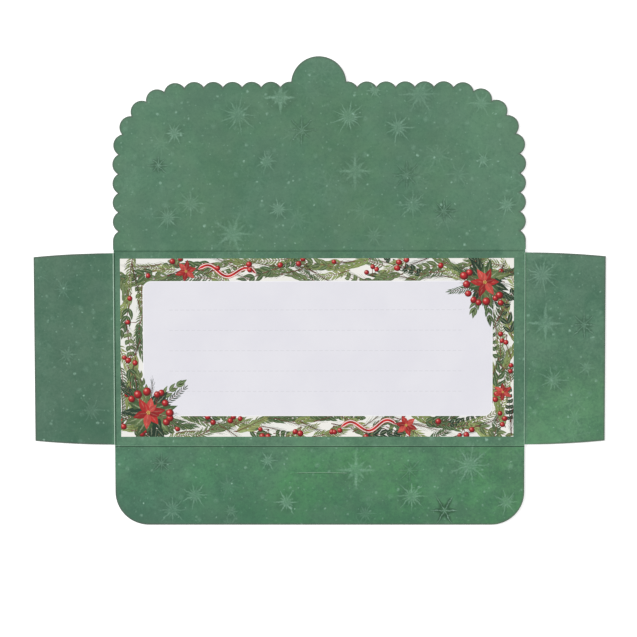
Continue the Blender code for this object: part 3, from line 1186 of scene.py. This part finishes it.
def paint_sprig(brush, kind, base, heading, length, bend, ink, level, chance):
    """A stem with pairs of leaves that grow smaller towards its tip, and one leaf at the end."""
    pairs, leaf_length, leaf_width, spread, steps = SPRIGS[kind]
    course = bow(base, heading, length, bend)
    brush.mark(course, stem_outline(STEM_WIDTH), STEM_STEPS, TWIG_INK, level)
    count = 0
    for pair in range(pairs):
        share = (pair + FIRST_LEAF) / pairs
        point, _ = course(share)
        here = heading + bend * share
        size = (1 - LEAF_SHRINK * share) * min(1.0, FOOT_LEAF + share)
        for side in (-1, 1):
            opening = math.radians(spread + stray(chance, LEAF_STRAY_DEGREES)) * (1 - LEAF_CLOSING * share)
            turn = here + side * opening
            extent = leaf_length * size * chance.uniform(*LEAF_LENGTHS)
            width = leaf_width * size * chance.uniform(*LEAF_WIDTHS)
            count += 1
            height = level + (1 + count % (SHADES_IN_SPRIG - 1)) * INK_STEP
            brush.leaf(point, turn, extent, -side * LEAF_CURL, width, steps, varied(ink, chance), height)
    point, _ = course(1.0)
    extent, width, height = leaf_length * TIP_LEAF, leaf_width * TIP_LEAF, level + INK_STEP
    brush.leaf(point, heading + bend, extent, 0.0, width, steps, varied(ink, chance), height)


def paint_bloom(petals, fruits, centre, radius, level, chance):
    """A red winter bloom: two rings of pointed petals round a few yellow stamens."""
    start = chance.uniform(0, TAU)
    for ring, (count, size) in enumerate(PETAL_RINGS):
        for petal in range(count):
            heading = start + ring * PETAL_RING_TURN + petal * TAU / count + stray(chance, PETAL_STRAY)
            base = centre + heading_vector(heading) * radius * PETAL_ROOT
            length = radius * size * chance.uniform(*PETAL_LENGTHS)
            curl = stray(chance, PETAL_CURL)
            width = radius * size * PETAL_WIDTH
            ink = varied(PETAL_INKS[(ring + petal) % len(PETAL_INKS)], chance, PETAL_VARIATION)
            height = level + (PETAL_LEVELS * ring + petal % PETAL_LEVELS) * INK_STEP
            petals.leaf(base, heading, length, curl, width, PETAL_STEPS, ink, height)
    for stamen in range(1 + STAMENS_ROUND):
        heading = start + stamen * TAU / STAMENS_ROUND
        spot = centre + heading_vector(heading) * radius * (STAMEN_REACH if stamen else 0.0)
        height = level + (PETAL_LEVELS * len(PETAL_RINGS) + stamen % 2) * INK_STEP
        fruits.disc(spot, radius * STAMEN_SIZE, 1.0, 0.0, STAMEN_SEGMENTS, STAMEN_INK, height)


def paint_fruits(brush, fruits, base, heading, count, radius, level, chance):
    """Small red fruits on short bowed stalks."""
    for fruit in range(count):
        turn = heading + (fruit - (count - 1) / 2) * FRUIT_SPREAD + stray(chance, FRUIT_STRAY)
        stalk = radius * chance.uniform(*STALK_LENGTHS)
        course = bow(base, turn, stalk, stray(chance, STALK_BOW))
        brush.mark(course, stem_outline(STALK_WIDTH), STALK_STEPS, TWIG_INK, level + INK_STEP)
        spot, _ = course(1.0)
        size = radius * chance.uniform(*FRUIT_SIZES)
        stretch = chance.uniform(*FRUIT_STRETCH)
        ink = varied(BERRY_INK, chance, FRUIT_VARIATION)
        fruits.disc(spot, size, stretch, turn, FRUIT_SEGMENTS, ink, level + (2 + fruit) * INK_STEP)


def border_course(distance):
    """A point on the frame's middle line and the heading there, at a distance from its lower left."""
    low, high = BORDER_LOW, BORDER_HIGH
    sides = (
        (low, 0.0, high.x - low.x),
        (Vector((high.x, low.y)), math.pi / 2, high.y - low.y),
        (high, math.pi, high.x - low.x),
        (Vector((low.x, high.y)), -math.pi / 2, high.y - low.y),
    )
    for start, heading, run in sides:
        if distance <= run:
            break
        distance -= run
    return start + heading_vector(heading) * distance, heading


def paint_border(brushes):
    """Sprigs laid head to tail all round the frame, under the writing panel's edge."""
    leaves, needles, _, fruits = brushes
    chance = random.Random(BORDER_SEED)
    size = BORDER_HIGH - BORDER_LOW
    run = 2 * (size.x + size.y)
    count = round(run / SPRIG_SPACING)
    for number in range(count):
        centre, heading = border_course(run * number / count)
        across = left_of(heading_vector(heading))
        kind, inks = BORDER_ORDER[number % len(BORDER_ORDER)]
        swing = math.radians(chance.choice((-1, 1)) * chance.uniform(*SPRIG_SWING_DEGREES))
        length = chance.uniform(*SPRIG_LENGTHS_MM) * MM
        offset = (1 if number % 2 else -1) * chance.uniform(*SPRIG_OFFSETS_MM) * MM
        base = centre + across * offset - heading_vector(heading + swing) * length / 2
        level = ink_height((number % LOWER_SPRIGS) * SHADES_IN_SPRIG)
        brush = needles if kind == "needle" else leaves
        bend = stray(chance, SPRIG_BOW)
        paint_sprig(brush, kind, base, heading + swing, length, bend, chance.choice(inks), level, chance)
        if number % FRUIT_EVERY == 1:
            spot = centre + across * stray(chance, FRUIT_OFFSET_MM) * MM
            turn = chance.uniform(0, TAU)
            amount = chance.choice(BORDER_FRUITS)
            level = ink_height(LOWER_FRUIT_STEP)
            paint_fruits(leaves, fruits, spot, turn, amount, BORDER_FRUIT_RADIUS, level, chance)


def paint_bouquet(brushes, centre, toward, reach, radius, first, chance):
    """A bouquet in a corner of the frame, over the writing panel: sprigs, leaves, fruits and a bloom."""
    leaves, needles, petals, fruits = brushes
    for number in range(UPPER_SPRIGS):
        share = number / (UPPER_SPRIGS - 1) - 0.5
        heading = toward + share * math.radians(FAN_DEGREES) + stray(chance, FAN_STRAY)
        level = ink_height(BOUQUET_STEP + ((first + number) % UPPER_SPRIGS) * SHADES_IN_SPRIG)
        kind = FAN_ORDER[number % len(FAN_ORDER)]
        brush, inks, extent = leaves, DARK_LEAF_INKS, 1.0
        if kind == "needle":
            brush, inks, extent = needles, NEEDLE_INKS[:2], NEEDLE_REACH
        ink = chance.choice(inks)
        length = reach * chance.uniform(*FAN_LENGTHS) * extent
        paint_sprig(brush, kind, centre, heading, length, stray(chance, FAN_BOW), ink, level, chance)
    for number in range(BOUQUET_LEAVES):
        ring = 2 * number // BOUQUET_LEAVES
        heading = toward + number * 2 * TAU / BOUQUET_LEAVES + ring * COLLAR_TURN
        heading += stray(chance, COLLAR_STRAY)
        length = radius * COLLAR_RINGS[ring] * chance.uniform(*COLLAR_LENGTHS)
        curl = stray(chance, COLLAR_CURL)
        ink = varied(DARK_LEAF_INKS[(number * 2) % len(DARK_LEAF_INKS)], chance)
        height = ink_height(BOUQUET_LEAF_STEP + number)
        leaves.leaf(centre, heading, length, curl, radius * COLLAR_WIDTH, COLLAR_STEPS, ink, height)
    for number in range(BUNCHES):
        heading = toward + (number - (BUNCHES - 1) / 2) * BUNCH_TURN
        spot = centre + heading_vector(heading) * radius * BUNCH_REACH
        height = ink_height(BOUQUET_FRUIT_STEP + FRUITS_IN_BUNCH * number)
        paint_fruits(leaves, fruits, spot, heading, FRUITS_IN_BUNCH, BOUQUET_FRUIT_RADIUS, height, chance)
    paint_bloom(petals, fruits, centre, radius, ink_height(BOUQUET_BLOOM_STEP), chance)


def paint_ribbon(ribbons, base, heading, length, level):
    """A ribbon that swings through the sprigs, drawn in at its ends."""

    def half_width(along):
        end = min(along, 1 - along)
        return RIBBON_WIDTH / 2 * min(1.0, RIBBON_END + end * RIBBON_FLARE)

    course = sway(base, heading, length, RIBBON_SWING, RIBBON_WAVES)
    ribbons.mark(course, half_width, RIBBON_STEPS, RIBBON_INK, level)


def build_picture():
    """The painted frame: white ground, border of sprigs, writing panel and the bouquets over it."""
    white, *_ = plain_print_material("picture_ground", PICTURE_WHITE, PICTURE_STAIN)
    rounded_plate("picture_ground", PICTURE_LOW, PICTURE_HIGH, 0.0, CARD_TOP, GROUND_FILM, white)
    rim, *_ = plain_print_material("writing_rim", RIM_PALE, RIM_STAIN)
    for name, grown, step, film, material in (
        ("writing_rim", WRITING_RIM, RIM_STEP, INK_FILM, rim),
        ("writing_panel", 0.0, WRITING_STEP, WRITING_FILM, writing_material()),
    ):
        grow = Vector((grown, grown))
        low, high, corner = WRITING_LOW - grow, WRITING_HIGH + grow, WRITING_CORNER + grown
        rounded_plate(name, low, high, corner, ink_height(step), film, material)
    brush = brush_group()
    brushes = (
        Brush("garland_leaves", painted_material("painted_leaf", brush, LEAF_RIB)),
        Brush("garland_needles", painted_material("painted_needle", brush, 0.0)),
        Brush("garland_petals", painted_material("painted_petal", brush, PETAL_RIB)),
        Brush("garland_fruits", berry_material()),
    )
    ribbons = Brush("garland_ribbons", ribbon_material())
    *_, petals, fruits = brushes
    paint_border(brushes)
    chance = random.Random(BOUQUET_SEED)
    for place, toward, reach, radius, first in BOUQUETS:
        centre = Vector(place) * MM
        paint_bouquet(brushes, centre, math.radians(toward), reach * MM, radius * MM, first, chance)
    for place, radius in BLOOMS:
        level = ink_height(LOWER_BLOOM_STEP)
        paint_bloom(petals, fruits, Vector(place) * MM, radius * MM, level, chance)
    for place, heading, length in RIBBONS:
        base = Vector(place) * MM
        paint_ribbon(ribbons, base, math.radians(heading), length * MM, ink_height(RIBBON_STEP))
    for made in (*brushes, ribbons):
        made.finish()


def write_sheet_map(shape):
    """Give every corner its place on the sheet in millimetres, as the UV map that the print reads."""
    sheet = shape.loops.layers.uv.new("sheet")
    for face in shape.faces:
        for corner in face.loops:
            corner[sheet].uv = (corner.vert.co.x / MM, corner.vert.co.y / MM)


def dress_faces(shape):
    """Inside print on what faces up, outside print on what faces down, and the cut edge elsewhere."""
    shape.normal_update()
    for face in shape.faces:
        if face.normal.z > FACE_UP:
            face.material_index = INSIDE
        elif face.normal.z < -FACE_UP:
            face.material_index = OUTSIDE
        else:
            face.material_index = CUT


def in_slit(place):
    """Whether a point lies on the slit's edge."""
    return abs(place.x) < SLIT_HALF_SPAN + SLIT_ROOM and abs(place.y - SLIT_MIDDLE) < SLIT_ROOM


def slit_middle(x):
    """Height on the sheet of the slit's bowed middle line."""
    x = max(-SLIT_HALF_SPAN, min(SLIT_HALF_SPAN, x))
    return SLIT_MIDDLE - SLIT_RADIUS + math.sqrt(SLIT_RADIUS ** 2 - x ** 2)


def close_slit(shape):
    """Bring the lips of the slit together, as a cut without waste leaves them, and raise a burr on them."""
    wear_and_highlight = shape.verts.layers.float.new("wear_and_highlight")
    painted_shade = shape.verts.layers.float.new("painted_shade")
    rim = []
    for edge in shape.edges:
        if all(in_slit(vert.co) and vert.co.z > CARD_TOP / 2 for vert in edge.verts):
            if len({abs(face.normal.z) > FACE_UP for face in edge.link_faces}) == 2:
                rim.append(edge)
    for vert in shape.verts:
        if in_slit(vert.co):
            middle = slit_middle(vert.co.x)
            vert.co.y = middle + (vert.co.y - middle) * SLIT_PINCH
    for vert in bevel(shape, rim, LIP_WIDTH, 1):
        if vert.co.z < CARD_TOP - LIP_WIDTH / 2:
            inside = max(0.0, min(1.0, (SLIT_HALF_SPAN - abs(vert.co.x)) / LIP_FADE))
            vert.co.z = CARD_TOP + LIP_RISE * inside
            upper = vert.co.y > slit_middle(vert.co.x)
            # The upper lip is worn light with a painted highlight, and the lower lip gets painted shade
            vert[wear_and_highlight] = LIP_WEAR_AND_HIGHLIGHT * inside if upper else 0.0
            vert[painted_shade] = 0.0 if upper else LIP_SHADE * inside


def shade_rim(shape, on_seam):
    """Mark a narrow band of the print along the free edges, greyer as the cut edge shows there, and with
    painted shade.
    """
    rim = shape.verts.layers.float.new("rim")
    shape.normal_update()
    tops = [face for face in shape.faces if face.normal.z > FACE_UP]
    band = bmesh.ops.inset_region(
        shape, faces=tops, use_boundary=True, use_even_offset=True, thickness=RIM_WIDTH
    )["faces"]
    inner = {vert for face in tops for vert in face.verts}
    bandless = {}
    for edge in {edge for face in band for edge in face.edges}:
        ends = sorted(edge.verts, key=lambda vert: vert in inner)
        if ends[0] not in inner and ends[1] in inner:
            if in_slit(ends[0].co):
                bandless[ends[1]] = ends[0]
            elif not on_seam(ends[0].co):
                # The free edge gets the greyer band with painted shade
                ends[0][rim] = RIM_SHARE
    bmesh.ops.weld_verts(shape, targetmap=bandless)


def card_piece(node, body, on_seam, materials):
    """One area of the sheet: the die-cut solid with its free edges rounded, which stands for the node."""
    shape = bmesh.new()
    shape.from_mesh(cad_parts[node].data)
    bmesh.ops.remove_doubles(shape, verts=shape.verts, dist=WELD)
    flat = math.radians(FLAT_DEGREES)
    bmesh.ops.dissolve_limit(shape, angle_limit=flat, verts=shape.verts, edges=shape.edges)
    if node != "back_panel":
        shade_rim(shape, on_seam)
    if node == "bottom_flap":
        close_slit(shape)
    rim = []
    for edge in shape.edges:
        tilts = [abs(face.normal.z) > FACE_UP for face in edge.link_faces]
        level = all(vert.co.z in (0.0, CARD_TOP) for vert in edge.verts)
        if level and sorted(tilts) == [False, True] and not all(on_seam(vert.co) for vert in edge.verts):
            rim.append(edge)
    bevel(shape, rim, EDGE_ROUND, EDGE_SEGMENTS, clamp=True)
    dress_faces(shape)
    write_sheet_map(shape)
    piece = new_piece(node + "_card", shape, materials)
    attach(piece, body)
    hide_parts(node)


def swell(offset, half_width):
    """A smooth rise to 1 over the middle of a strip."""
    if abs(offset) >= half_width:
        return 0.0
    return (1 + math.cos(math.pi * offset / half_width)) / 2


def crease_piece(node, start, end, half_length, wear_and_highlight_line, shade, materials):
    """A pressed crease from the panel's edge to the flap's: a bead between two troughs, a groove below.

    start and end are the seam points on the panel and on the flap.
    The ink is scuffed light along one line, which also carries a painted highlight, and a painted shade lies
    along another: wear_and_highlight_line and shade give the strength of each, and its distance from the
    crease's middle towards the flap.
    """
    across = (end - start).normalized()
    along = Vector((-across.y, across.x, 0))
    span = (end - start).length
    trough = BEAD_HALF_WIDTH + TROUGH_HALF_WIDTH / 2
    shape = bmesh.new()
    wear_and_highlight = shape.verts.layers.float.new("wear_and_highlight")
    painted_shade = shape.verts.layers.float.new("painted_shade")
    section = bmesh.ops.create_grid(shape, x_segments=FOLD_STEPS, y_segments=1, size=0.5)["verts"]
    for vert in section:
        travel = (vert.co.x + 0.5) * span
        offset = travel - span / 2
        bead = swell(offset, BEAD_HALF_WIDTH)
        sink = swell(abs(offset) - trough, TROUGH_HALF_WIDTH)
        top = vert.co.y > 0
        # On the top face, a line of worn ink with a painted highlight, and a line of painted shade
        vert[wear_and_highlight] = wear_and_highlight_line[0] * swell(offset - wear_and_highlight_line[1], BEAD_HALF_WIDTH) if top else 0.0
        vert[painted_shade] = shade[0] * swell(offset - shade[1], SHADE_HALF_WIDTH) if top else 0.0
        vert.co = start + across * travel - along * half_length
        vert.co.z = bead * BEAD_HEIGHT
        if top:
            vert.co.z += CARD_TOP - sink * TROUGH_DEPTH
    extrude(shape, along * 2 * half_length)
    shape.normal_update()
    for face in shape.faces:
        if abs(face.normal.dot(along)) > FACE_UP:
            face.material_index = CUT
        else:
            face.material_index = INSIDE if face.normal.z > 0 else OUTSIDE
    write_sheet_map(shape)
    piece = new_piece(node + "_fold", shape, materials, smooth=True)
    piece.data.set_sharp_from_angle(angle=math.radians(SHARP_DEGREES))
    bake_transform(piece)
    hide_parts(node)


def build_sheet(materials):
    """The five areas of the sheet and the four creases between them."""
    panel_low, panel_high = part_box("back_panel")
    seams = []
    for node, crease, body, axis, side, wear_and_highlight_line, shade in CREASES:
        low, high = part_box(node)
        panel_edge = (panel_high if side > 0 else panel_low)[axis]
        flap_edge = (low if side > 0 else high)[axis]
        seams.append((axis, panel_edge))
        crease_low, crease_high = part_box(crease)
        start = (crease_low + crease_high) / 2
        start.z = 0.0
        end = start.copy()
        start[axis] = panel_edge
        end[axis] = flap_edge
        half_length = (crease_high - crease_low)[1 - axis] / 2
        crease_piece(crease, start, end, half_length, wear_and_highlight_line, shade, materials)

        def on_seam(place, axis=axis, edge=flap_edge):
            return abs(place[axis] - edge) < WELD

        card_piece(node, body, on_seam, materials)

    def on_panel_seam(place):
        return any(abs(place[axis] - edge) < WELD for axis, edge in seams)

    card_piece("back_panel", "panel", on_panel_seam, materials)


def add_camera():
    """The camera above the sheet, a little off square, as in the photograph."""
    lens = bpy.data.cameras.new("camera")
    lens.lens = CAMERA_LENS
    camera = bpy.data.objects.new("camera", lens)
    turn = Euler([math.radians(angle) for angle in CAMERA_TURN_DEGREES], "XYZ")
    camera.rotation_euler = turn
    camera.location = Vector(CAMERA_AIM) + turn.to_matrix() @ Vector((0, 0, CAMERA_DISTANCE))
    bpy.context.scene.collection.objects.link(camera)
    bpy.context.scene.camera = camera


def seen_directly(tree):
    """1 for what the camera sees itself, in a reflection or through glass."""
    path = tree.wires(tree.add("LightPath"))
    return tree.most(path["Is Camera Ray"], path["Is Glossy Ray"], path["Is Transmission Ray"])


def add_world():
    """White surroundings: plain soft light on the object, and pure white where they are seen."""
    world = bpy.data.worlds.new("studio")
    world.use_nodes = True
    bpy.context.scene.world = world
    tree = Tree(world.node_tree)
    background = world.node_tree.nodes["Background"]
    background.inputs["Color"].default_value = (1, 1, 1, 1)
    tree.put(background.inputs["Strength"], tree.most(seen_directly(tree), WORLD_LEVEL))


def add_floor():
    """A white floor that keeps the object's shadow."""
    shape = bmesh.new()
    bmesh.ops.create_grid(shape, x_segments=1, y_segments=1, size=FLOOR_SIZE / 2)
    bmesh.ops.translate(shape, verts=shape.verts, vec=(0, 0, -FLOOR_DROP))
    material, tree, shader = new_material("studio_floor", FLOOR_ROUGHNESS)
    shader.inputs["Base Color"].default_value = (FLOOR_GREY, FLOOR_GREY, FLOOR_GREY, 1)
    shader.inputs["Emission Color"].default_value = (1, 1, 1, 1)
    tree.put(shader.inputs["Emission Strength"], seen_directly(tree) * FLOOR_LIFT)
    floor = new_piece("studio_floor", shape, [material])


def add_key_light():
    """One soft, even light from the upper left, low enough to pick out the creases."""
    lamp = bpy.data.lights.new("key", "SUN")
    lamp.angle = math.radians(KEY_SOFTNESS_DEGREES)
    lamp.energy = KEY_LEVEL
    key = bpy.data.objects.new("key", lamp)
    key.location = KEY_PLACE
    key.rotation_euler = (-Vector(KEY_PLACE)).to_track_quat("-Z", "Y").to_euler()
    bpy.context.scene.collection.objects.link(key)


CARD_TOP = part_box("back_panel")[1].z
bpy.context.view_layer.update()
bpy.context.scene.view_settings.view_transform = "Standard"
add_camera()
add_world()
add_floor()
add_key_light()
snow_print = snow_print_group()
inside = snow_material("inside_print", snow_print, (0.0, 0.0, 0.0))
outside = snow_material("outside_print", snow_print, OUTSIDE_SHIFT)
card_materials = [inside, outside, cut_edge_material()]
build_sheet(card_materials)
build_picture()
